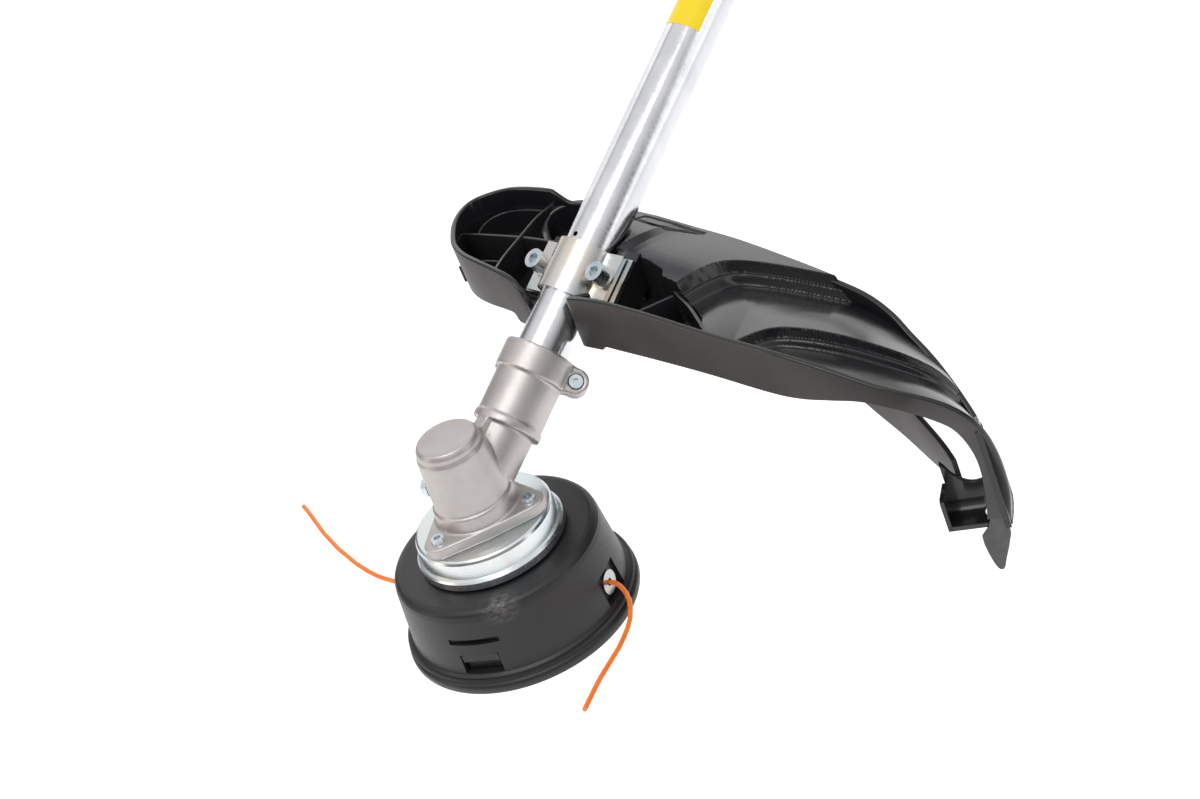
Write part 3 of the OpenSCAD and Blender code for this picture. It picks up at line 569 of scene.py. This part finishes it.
class Shell:
    """Closed forms gathered into one mesh; points are millimetres in the head frame."""

    def __init__(self):
        self.points, self.faces, self.slots = [], [], []

    def add(self, points, faces, slots):
        """Takes in one more form: its points, its faces and each face's material."""
        start = len(self.points)
        self.points += [at_head(*point) for point in points]
        self.faces += [[start + k for k in face] for face in faces]
        self.slots += slots

    def loft(self, loops, outer_slot=0, ring=False):
        """Skins loops of equal count, capped or closed into a ring.

        The first side of every loop takes the outer slot.
        """
        sides, count = len(loops[0]), len(loops)
        faces, slots = [], []
        for i in range(count if ring else count - 1):
            here, there = i * sides, (i + 1) % count * sides
            for k in range(sides):
                m = (k + 1) % sides
                faces.append([here + k, here + m, there + m, there + k])
                slots.append(outer_slot if k == 0 else 0)
        if not ring:
            faces.append(list(range(sides)))
            faces.append([(count - 1) * sides + k for k in range(sides)])
            slots += [0, 0]
        self.add([point for loop in loops for point in loop], faces, slots)

    def wall(self, tops, bottoms, thickness, rim=0.8, outer_slot=0):
        """A standing wall with a rounded rim, thickened to the left of its run.

        The slot is for the face on the right of its run.
        """
        loops = []
        last = len(tops) - 1
        for i, (high, low) in enumerate(zip(tops, bottoms)):
            along = tops[min(i + 1, last)] - tops[max(i - 1, 0)]
            up = (high - low).normalized()
            inward = up.cross(along).normalized() * thickness
            lean, step = up * rim, inward.normalized() * rim
            loops.append(
                [
                    low,
                    high - lean,
                    high - lean * ROUND_CUT + step * ROUND_CUT,
                    high + step,
                    high + inward - step,
                    high + inward - lean * ROUND_CUT - step * ROUND_CUT,
                    high + inward - lean,
                    low + inward,
                ]
            )
        self.loft(loops, outer_slot)

    def plan_wall(self, stations, thickness, spacing=2.0, **kind):
        """A wall from stations of x, y, bottom and top."""
        path = smooth_path(stations, spacing)
        tops = [Vector((x, y, top)) for x, y, bottom, top in path]
        bottoms = [Vector((x, y, bottom)) for x, y, bottom, top in path]
        self.wall(tops, bottoms, thickness, **kind)

    def sheet(self, x, y, z, thickness):
        """A closed slab whose top is the grid x, y, z."""
        rows, columns = x.shape
        top = [tuple(p) for p in np.stack([x, y, z], -1).reshape(-1, 3).tolist()]
        under = [(px, py, pz - thickness) for px, py, pz in top]
        below = rows * columns
        faces = []
        for i in range(rows - 1):
            for j in range(columns - 1):
                a = i * columns + j
                b, c, d = a + 1, a + columns + 1, a + columns
                faces.append([a, b, c, d])
                faces.append([below + d, below + c, below + b, below + a])
        border = list(range(columns))
        border += [i * columns + columns - 1 for i in range(1, rows)]
        border += [(rows - 1) * columns + j for j in range(columns - 2, -1, -1)]
        border += [i * columns for i in range(rows - 2, 0, -1)]
        for a, b in zip(border, border[1:] + border[:1]):
            faces.append([b, a, below + a, below + b])
        self.add(top + under, faces, [0] * len(faces))

    def piece(self, name, body, slots, sharp=40):
        """The finished piece, shaded smooth up to sharp degrees, riding on a body."""
        mesh = bpy.data.meshes.new(name)
        mesh.from_pydata(self.points, [], self.faces)
        work = bmesh.new()
        work.from_mesh(mesh)
        bmesh.ops.recalc_face_normals(work, faces=work.faces)
        work.to_mesh(mesh)
        work.free()
        mesh.polygons.foreach_set("material_index", self.slots)
        mesh.shade_smooth()
        mesh.set_sharp_from_angle(angle=math.radians(sharp))
        for slot in slots:
            mesh.materials.append(MATERIALS[slot])
        made = bpy.data.objects.new(name, mesh)
        bpy.context.scene.collection.objects.link(made)
        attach(made, body)
        return made


# ---------------------------------------------------------------- guard

# Height of the tray's floor
TRAY_Z = 109.5
# Thicknesses: outer walls, roof, straight ribs, the curved rib ahead of the roof, the arch
GUARD_WALL, ROOF_WALL, RIB_WALL, ARC_WALL, ARCH_WALL = 2.8, 2.2, 1.7, 1.8, 4.5
# How far the roof's middle stands above its front and back edges
CROWN = 5.0
# Each row runs from the guard's front edge, x, y, z, to its back edge, x, y, z
TRAY_ROWS = [
    (124, 107, 134, 133, 108.5, 124), (112, 98.5, 134, 143, 103.5, 124),
    (103.5, 87, 134, 149, 93, 124), (98, 74, 134, 152.5, 80, 124),
    (92.5, 52, 134, 158, 58, 124), (89.5, 34, 134, 161, 38, 124),
    (88, 19, 134, 162, 19, 124), (104, 15, 134, 162, 14, 123.5),
    (105, 0, 134, 162, 0, 123), (104, -15.5, 134, 161.5, -15, 122),
    (85, -19.5, 134, 161.5, -20, 121.5), (82, -24, 134, 161.5, -25, 121),
]
WING_ROWS = [
    (82, -24, 134, 161.5, -25, 121), (82, -52, 134, 161, -52, 119),
    (82, -82, 132.5, 159.5, -80, 116), (82, -112, 130, 158.5, -106, 112),
    (82, -142, 127.5, 157.5, -130, 107), (84, -162, 123.5, 155, -146, 101),
    (87.5, -178, 118.5, 151.5, -158, 94), (92.5, -193, 112, 147.5, -170, 87),
    (99, -205, 104.5, 143.5, -181, 80), (107, -218, 92, 138.5, -192, 71),
    (112, -223, 80, 134.5, -200, 64),
]
# Outline of the roofed part; outside it the sheet drops to the tray's floor
ROOFED = [
    (180, 46), (150, 44), (143, 30), (138, 17), (122, 14.5), (120.5, 0), (120.5, -14.8),
    (119.8, -20), (119.8, -28), (118.6, -36), (114.2, -50), (109.5, -54), (108, -63),
    (105, -74), (94, -91), (78, -108), (60, -108), (60, -260), (180, -260),
]
# The drop there reaches this far to either side of the outline
DROP_HALF = 0.6
# Walls and ribs are rows of x, y, bottom, top
ARC_RIB = [
    (127, -20, 109, 123.5), (121.5, -34, 109, 124.5), (115, -49, 109, 125.5),
    (107.5, -62, 109, 126.5), (99.5, -78, 109, 127.5), (91, -92, 109, 128.5),
    (82, -106, 109, 130),
]
# Upper edges of the two steps that cross the roof
RIDGE_1 = [
    (100, -66), (110, -65.5), (121, -66), (131, -67.5), (138, -71), (143, -78),
    (149, -91), (154, -104), (160, -118), (166, -130),
]
RIDGE_2 = [
    (72, -118), (84, -123.5), (94, -128.5), (100, -134), (106, -145), (113, -159),
    (121, -172), (131, -182), (142, -188), (156, -192),
]
# Heights of the two steps
STEP_1, STEP_2 = 13.5, 10.5
# A step's profile: distance ahead of its upper edge, and the share of its height
STEP_RUN = [0, 0.3, 1.0, 1.4, 2.9, 3.3, 4.6, 5.1, 6.5]
STEP_SHARE = [0, 0.05, 0.45, 0.5, 0.52, 0.57, 0.95, 0.99, 1.0]
# The first step's lower tier, from its ledge on, is drawn out in front of this x
LEDGE = 2.9
DRAWN_OUT_X, DRAWN_OUT_RUN, DRAWN_OUT_BY = 136, 10, 1.3
# The area ahead of a ridge reaches past the guard's back and front edges and its outer end
AHEAD_BACK, AHEAD_FRONT, AHEAD_END = 180, 50, -260
# Radius of the scoop that keeps the roof clear of the tube
SCOOP_R = 13.9
# A shallow groove round the panel beside the tube, closed in plan
GROOVE_DEPTH, GROOVE_REACH = 1.2, 1.5
PANEL_GROOVE = [
    (150.5, 4), (149.5, -12), (150.5, -18), (153, -24), (155.5, -35), (157, -35),
    (157.5, -20), (157.5, 4),
]
# Outer edge, then inner edge, of the front band and of the flange that it turns into
FRONT_BAND = [
    (93, -17.5, 129, 92, -16.2, 112), (88, -16.3, 131, 88, -14.8, 106.8),
    (85, -15.5, 132.3, 85, -14.3, 106), (82, -15.8, 133, 82, -14.7, 106),
    (80.3, -18.2, 134, 80.3, -17, 106),
    (80, -26, 135.3, 80, -26, 106.5), (80, -31, 135.8, 80, -31, 107),
    (80, -33, 136, 80, -33, 109), (80, -44, 136.3, 80, -44, 109),
    (80, -72, 135, 80, -68, 108.8), (80, -106, 132, 80, -100, 108),
    (80, -142, 130, 80, -138, 106), (82.5, -163, 126, 80.5, -156, 106.3),
    (85.5, -178, 121, 83, -171, 107), (90, -193, 114.5, 86.5, -186, 107),
    (97, -207, 107.5, 92, -201, 102), (104.5, -218.5, 97, 101.5, -209.5, 91),
    (110, -225, 84, 107.5, -214, 81), (114, -226.5, 66, 111, -216.5, 65),
    (117.5, -223.5, 44, 113, -213.5, 44), (119, -218, 25, 113.3, -209, 26),
]
# Back wall of the wing, from the cutter end to the tray
BACK_WALL = [
    (135.5, -201, 42, 61.5), (139.5, -193, 50, 68.5), (144.5, -181.5, 60, 77.5),
    (149, -170, 69, 84.5), (152.5, -158, 77, 91.5), (156, -146, 84, 98.5),
    (158.5, -130, 90, 104.5), (159.5, -106, 88, 109.5), (160.5, -82, 88, 113.5),
    (162, -60, 92, 116.5), (162.5, -45, 103, 118), (162.5, -22, 104, 119.5),
]
# Wall round the tray: back, left end and front
RIM = [
    (162.5, -22, 104, 119.5), (163, 0, 104, 120.8), (163.5, 20, 104, 122),
    (163.2, 38, 104, 123), (161.5, 52, 104, 124), (159, 60, 104, 125.5),
    (157, 66, 105, 131.5), (156.6, 69, 105, 133), (154.6, 82, 105, 133.5), (151, 95, 105, 133.5),
    (144, 105.5, 105, 133), (135.5, 110.5, 105, 133), (126, 109.5, 106, 133),
    (116.5, 104.5, 106, 133), (108, 97, 106, 133), (100.5, 88, 106, 133),
    (95, 76, 106.5, 133.5), (91.5, 62, 107.5, 134), (89, 48, 109, 134),
    (87.5, 39, 109.2, 133.7), (87.2, 37, 105, 133.5), (86.3, 31, 104.5, 132.3),
    (85.4, 26, 104.5, 129.3), (84.8, 22.5, 104.5, 124.5), (84.4, 20.3, 104.5, 117),
    (84.2, 19.3, 104.5, 107),
]
# Wall that closes the wing's outer end
END_WALL = [
    (111, -225, 28, 82), (115.5, -220.5, 28, 80.5), (120, -216, 30, 79),
    (124, -212, 52, 77), (129, -206.5, 54, 71.5), (134.8, -201, 44, 64.5),
]
# Straight ribs in the tray: the first four left of the tube, the last two right of it
RIBS = [
    [(117, 106, 109, 125), (120, 92, 109, 125), (124, 62, 109, 125.5), (125, 38, 109, 126)],
    [
        (91, 47, 109, 130), (106, 56, 109, 127.5), (124, 62, 109, 126.5),
        (142, 67, 109, 126), (156, 67, 109, 126),
    ],
    [(101, 91, 109, 118), (109, 80, 109, 118), (113, 58, 109, 118)],
    [
        (123, 99, 109, 119), (133, 102.5, 109, 121), (142, 98.5, 109, 122),
        (148, 88, 109, 122), (151, 72, 109, 122),
    ],
    [(82, -56, 109, 130), (93, -60, 109, 128.5), (105, -64, 109, 127)],
    [(82, -76, 109, 119), (96, -73, 109, 119)],
]
# Broad rim that turns down from the back edge on to the tray, left of the tube
ARCH = [
    (165.5, 46, 110, 124), (162, 58, 110, 124.2), (157, 66.5, 109, 124),
    (150, 71, 109, 122.5), (143, 70, 109, 120.5), (138, 66, 109, 117),
    (135, 61, 108.8, 111.5),
]
# Saddle under the clamp: its place and ends along the tube, its top and bottom down from
# the tube's axis, its half width and its bore's radius
CLAMP_ALONG = 118.6
SADDLE_ENDS = [-15, 18]
SADDLE_TOP, SADDLE_BOTTOM = 3.0, 17.4
SADDLE_HALF = 29.5
SADDLE_BORE = 15.7
SADDLE_ARC_STEPS = 16


def ahead_of(ridge, x, y):
    """True on the outer side of a ridge, where the roof is a step lower."""
    corners = [
        (AHEAD_BACK, ridge[-1][1]), (AHEAD_BACK, AHEAD_END),
        (AHEAD_FRONT, AHEAD_END), (AHEAD_FRONT, ridge[0][1]),
    ]
    return inside(ridge + corners, x, y)


def roof_heights(x, y, base):
    """The roof: two plates stepped down ahead of its ridges, and the tray beside them."""
    ridge_1 = [tuple(p) for p in smooth_path(RIDGE_1, 3)]
    ridge_2 = [tuple(p) for p in smooth_path(RIDGE_2, 3)]
    front = [(row[0], row[1]) for row in smooth_path(WING_ROWS, 4)]
    to_1 = distance_to(ridge_1, x, y)
    to_2 = distance_to(ridge_2, x, y)
    to_front = distance_to(front, x, y)
    stretch = 1 + DRAWN_OUT_BY * np.clip((DRAWN_OUT_X - x) / DRAWN_OUT_RUN, 0, 1)
    ahead = np.where(to_1 < LEDGE, to_1, LEDGE + (to_1 - LEDGE) / stretch)
    next_edge = np.minimum(to_2, to_front)
    drop_1 = STEP_1 * np.interp(ahead, STEP_RUN, STEP_SHARE) * next_edge / (to_1 + next_edge)
    drop_2 = STEP_2 * np.interp(to_2, STEP_RUN, STEP_SHARE) * to_front / (to_2 + to_front)
    first = np.where(ahead_of(ridge_1, x, y), drop_1, 0)
    roof = base - np.where(ahead_of(ridge_2, x, y), drop_2, first)
    groove = distance_to(PANEL_GROOVE + PANEL_GROOVE[:1], x, y)
    roof -= GROOVE_DEPTH * np.clip(GROOVE_REACH - groove, 0, 1)
    across = np.clip(SCOOP_R**2 - y**2, 0, None) ** 0.5
    under_tube = AXES_HEIGHT / MM + (x * TUBE.z - across) / TUBE.x
    roof = np.where(across > 0, np.minimum(roof, under_tube), roof)
    edge = distance_to(ROOFED + ROOFED[:1], x, y)
    signed = np.where(inside(ROOFED, x, y), edge, -edge)
    share = np.clip((signed + DROP_HALF) / (2 * DROP_HALF), 0, 1)
    return TRAY_Z + (roof - TRAY_Z) * share


def add_roof(shell):
    """The roof and the tray's floor: one sheet on a grid from the front edge to the back."""
    rows = smooth_path(TRAY_ROWS, 1.0, straight=True)[:-1] + smooth_path(WING_ROWS, 0.9)
    columns = 116
    grid = np.array([list(row) for row in rows])
    across = np.linspace(0, 1, columns)[None, :]
    front, back = grid[:, None, :3], grid[:, None, 3:]
    surface = front * (1 - across[..., None]) + back * across[..., None]
    x, y = surface[..., 0], surface[..., 1]
    base = surface[..., 2] + CROWN * np.sin(np.pi * across)
    shell.sheet(x, y, roof_heights(x, y, base), ROOF_WALL)


def add_saddle(shell):
    """The block under the clamp, bored for the tube."""
    lead = math.asin(SADDLE_TOP / SADDLE_BORE)
    arc = [lead + k / SADDLE_ARC_STEPS * (math.pi - 2 * lead) for k in range(SADDLE_ARC_STEPS + 1)]
    section = [(SADDLE_TOP, SADDLE_HALF)]
    section += [(SADDLE_BORE * math.sin(a), SADDLE_BORE * math.cos(a)) for a in arc]
    section += [
        (SADDLE_TOP, -SADDLE_HALF), (SADDLE_BOTTOM, -SADDLE_HALF), (SADDLE_BOTTOM, SADDLE_HALF),
    ]
    loops = []
    for end in SADDLE_ENDS:
        places = [at_tube(CLAMP_ALONG + end, down, side) for down, side in section]
        loops.append([(place - HEAD) / MM for place in places])
    shell.loft(loops)


def build_guard():
    """The guard's shell, in place of its CAD solid: gloss roof and tray, satin band."""
    shell = Shell()
    add_roof(shell)
    band = smooth_path(FRONT_BAND, 3)
    outer = [Vector(row[:3]) for row in band]
    inner = [Vector(row[3:]) for row in band]
    shell.wall(outer, inner, GUARD_WALL, outer_slot=1)
    shell.plan_wall(RIM, GUARD_WALL, outer_slot=1)
    shell.plan_wall(BACK_WALL, GUARD_WALL)
    shell.plan_wall(END_WALL, GUARD_WALL)
    shell.plan_wall(ARC_RIB, ARC_WALL, rim=0.5)
    shell.plan_wall(ARCH, ARCH_WALL, rim=1.4)
    for rib in RIBS:
        shell.plan_wall(rib, RIB_WALL, rim=0.5)
    add_saddle(shell)
    guard = shell.piece("guard", "root", ["guard_plastic", "guard_satin"], sharp=50)
    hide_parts("guard_shell")


# ---------------------------------------------------------------- cutter end

# Direction of the cutter from the spin axis, in plan
CUTTER_TURN = math.radians(-59.4)
SKIRT_WALL = 2.5
# Skirt from the tray to the cutter: x, y, bottom, top
SKIRT = [
    (159.6, -45, 90, 100), (158.4, -62, 80, 100), (156.4, -84, 62, 96),
    (153.5, -100, 48, 86), (151, -116, 38, 69), (146, -137, 31, 61),
    (138, -158, 28, 54), (131, -175, 27, 47.5), (126.5, -184, 27, 43),
]
# Distance from the spin axis along the holder, and its back web's top
HOLDER_WEB = [
    (217.5, 44), (219, 42), (221, 38), (224, 34.5), (228, 32), (232, 31.5),
    (236, 33), (240, 37), (245.4, 39),
]
# The scoop's section, as side and z, and where its two end cheeks stand along the holder
CHEEK = [
    (0, 14.6), (8, 15.2), (12.6, 17), (15, 20), (15, 31), (13, 32.4), (2, 32.4),
    (0, 31),
]
CHEEKS = [(216, 218), (243.4, 245.4)]
# The worn knife's outline, as distance from the spin axis and z
BLADE_OUTLINE = [
    (243, 33), (237, 33), (236.5, 20), (234, 15), (230.5, 11), (230.3, 6), (231, 0),
    (231.9, -5), (233, -8.4), (234.2, -9.6), (235.6, -9.4), (236.7, -7.6), (238.4, -3),
    (241, 3), (243.6, 10), (244, 14),
]
# Its faces draw in towards this place by these shares, which bevels its edge
BLADE_MIDDLE = (237, 10)
BLADE_BEVEL = (0.07, 0.03)


def at_cutter(r, side, z):
    """Head-frame millimetres of a point r out towards the cutter."""
    cosine, sine = math.cos(CUTTER_TURN), math.sin(CUTTER_TURN)
    return (r * cosine - side * sine, r * sine + side * cosine, z)


def build_cutter_end():
    """The skirt with its scooped knife holder, and the worn knife below it."""
    shell = Shell()
    shell.plan_wall(SKIRT, SKIRT_WALL, rim=0.7)
    # The whole skirt is satin, and the holder that follows is gloss
    shell.slots = [1] * len(shell.slots)
    loops = []
    for r, top, _ in smooth_path([(r, top, 0) for r, top in HOLDER_WEB], 1.5):
        section = [
            (0, 17), (4, 17.1), (8, 18), (11, 20.2), (12.5, 23.5), (12.5, top - 0.6),
            (13.1, top), (14.4, top), (15, top - 0.6), (15, 20), (12.6, 17), (8, 15.2),
            (0, 14.6),
        ]
        loops.append([at_cutter(r, side, z) for side, z in section])
    shell.loft(loops)
    for ends in CHEEKS:
        shell.loft([[at_cutter(r, side, z) for side, z in CHEEK] for r in ends])
    skirt = shell.piece("skirt", "root", ["guard_plastic", "guard_satin"], sharp=50)
    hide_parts("cutter_skirt")

    knife = Shell()
    (middle_r, middle_z), (share_r, share_z) = BLADE_MIDDLE, BLADE_BEVEL
    inner = [
        (r + (middle_r - r) * share_r, z + (middle_z - z) * share_z) for r, z in BLADE_OUTLINE
    ]
    sides = [(-1.8, inner), (-1.4, BLADE_OUTLINE), (-0.4, BLADE_OUTLINE), (0, inner)]
    knife.loft([[at_cutter(r, side, z) for r, z in outline] for side, outline in sides])
    blade = knife.piece("knife", "root", ["cutter_steel"])
    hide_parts("line_cutter_blade")


# ---------------------------------------------------------------- head details

# Bead and rounded rim round the foot of the head: radius and height
RIM_PROFILE = [
    (56.5, 8.2), (57.4, 8.4), (58.2, 8.1), (58.5, 7.4), (58.3, 6.8), (57.75, 6.4),
    (57.7, 5.6), (58.4, 5.1), (59.1, 4.4), (59.3, 3.2), (59.3, 1.4), (58.9, 0.4),
    (57.5, 0.1), (56.5, 0.1),
]
RIM_STEPS = 180
# Radii of the coil and of its wire
SPRING_R, SPRING_WIRE = 18, 1
SPRING_TURNS = 5.5
SPRING_BOTTOM, SPRING_TOP = 20.1, 40.9
# Share of the wire that lies flat at each end
SPRING_FLAT = 0.1
STEPS_PER_TURN, WIRE_SIDES = 36, 10


def build_head_details():
    """The bead and rounded rim, turned round the spin axis."""
    shell = Shell()
    loops = []
    for k in range(RIM_STEPS):
        angle = 2 * math.pi * k / RIM_STEPS
        loops.append([(r * math.cos(angle), r * math.sin(angle), z) for r, z in RIM_PROFILE])
    shell.loft(loops, ring=True)
    shell.piece("rim_beads", "head", ["head_plastic"], sharp=40)


def build_spring():
    """The bump feed's coil spring at rest, on a mesh of its own; the real spring shortens towards the hub as the
    knob is pressed.
    """
    spring = Shell()
    low, high = SPRING_BOTTOM + SPRING_WIRE, SPRING_TOP - SPRING_WIRE
    steps = round(SPRING_TURNS * STEPS_PER_TURN)
    loops = []
    for k in range(steps + 1):
        share = k / steps
        angle = 2 * math.pi * SPRING_TURNS * share
        rise = min(max((share - SPRING_FLAT) / (1 - 2 * SPRING_FLAT), 0), 1)
        z = low + (high - low) * rise
        loop = []
        for side in range(WIRE_SIDES):
            round_wire = 2 * math.pi * side / WIRE_SIDES
            r = SPRING_R + SPRING_WIRE * math.cos(round_wire)
            lift = SPRING_WIRE * math.sin(round_wire)
            loop.append((r * math.cos(angle), r * math.sin(angle), z + lift))
        loops.append(loop)
    spring.loft(loops)
    coil = spring.piece("bump_spring", "head", ["gear_steel"], sharp=60)
    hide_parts("feed_spring")
    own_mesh(coil)


# ---------------------------------------------------------------- assembly

make_camera()
make_lights()
make_floor()
dress_cad_nodes()
cutting_line("line_end_front", FRONT_ROUTE)
cutting_line("line_end_rear", REAR_ROUTE)
build_guard()
build_cutter_end()
build_head_details()
build_spring()
